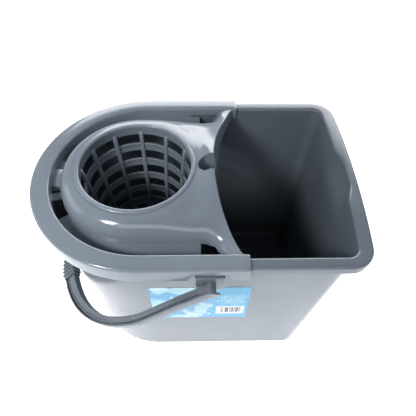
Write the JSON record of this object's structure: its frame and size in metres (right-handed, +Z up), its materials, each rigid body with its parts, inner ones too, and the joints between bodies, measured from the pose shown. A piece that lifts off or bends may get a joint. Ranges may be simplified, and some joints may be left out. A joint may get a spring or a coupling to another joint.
{
  "type": "mop bucket with wringer",
  "caption": "Oblong plastic mop bucket with a lift-off wringer deck, a windowed wringing basket, a handle rest and a bail that swings over.",
  "frame": {"origin": "on the ground, at the middle of the box round the whole part", "axes": "+Z up, +X to the square pouring end, +Y to the back (the front carries the label)"},
  "size_m": [0.4031, 0.318, 0.3255],
  "materials": {
    "bucket": "satin moulded polypropylene",
    "label": "printed film",
    "wringer": "satin moulded polypropylene",
    "basket": "satin moulded polypropylene",
    "bail": "satin moulded polypropylene",
    "grip": "ribbed, matte"
  },
  "bodies": {
    "bucket": {"bucket": "bucket", "front_label": "label"},
    "wringer": {"wringer_deck": "wringer", "basket_hoops": "basket", "basket_ribs": "basket", "basket_bottom": "basket"},
    "bail": {"bail": "bail", "bail_grip": "grip"}
  },
  "joints": [
    {"name": "wringer_lift", "type": "slide", "parent": "bucket", "child": "wringer", "axis": [0, 0, 1], "range_m": [0, 0.16]},
    {"name": "bail_swing", "type": "hinge", "parent": "bucket", "child": "bail", "pos_m": [0.02, 0, 0.279], "axis": [0, 1, 0], "range_deg": [0, 252]}
  ]
}
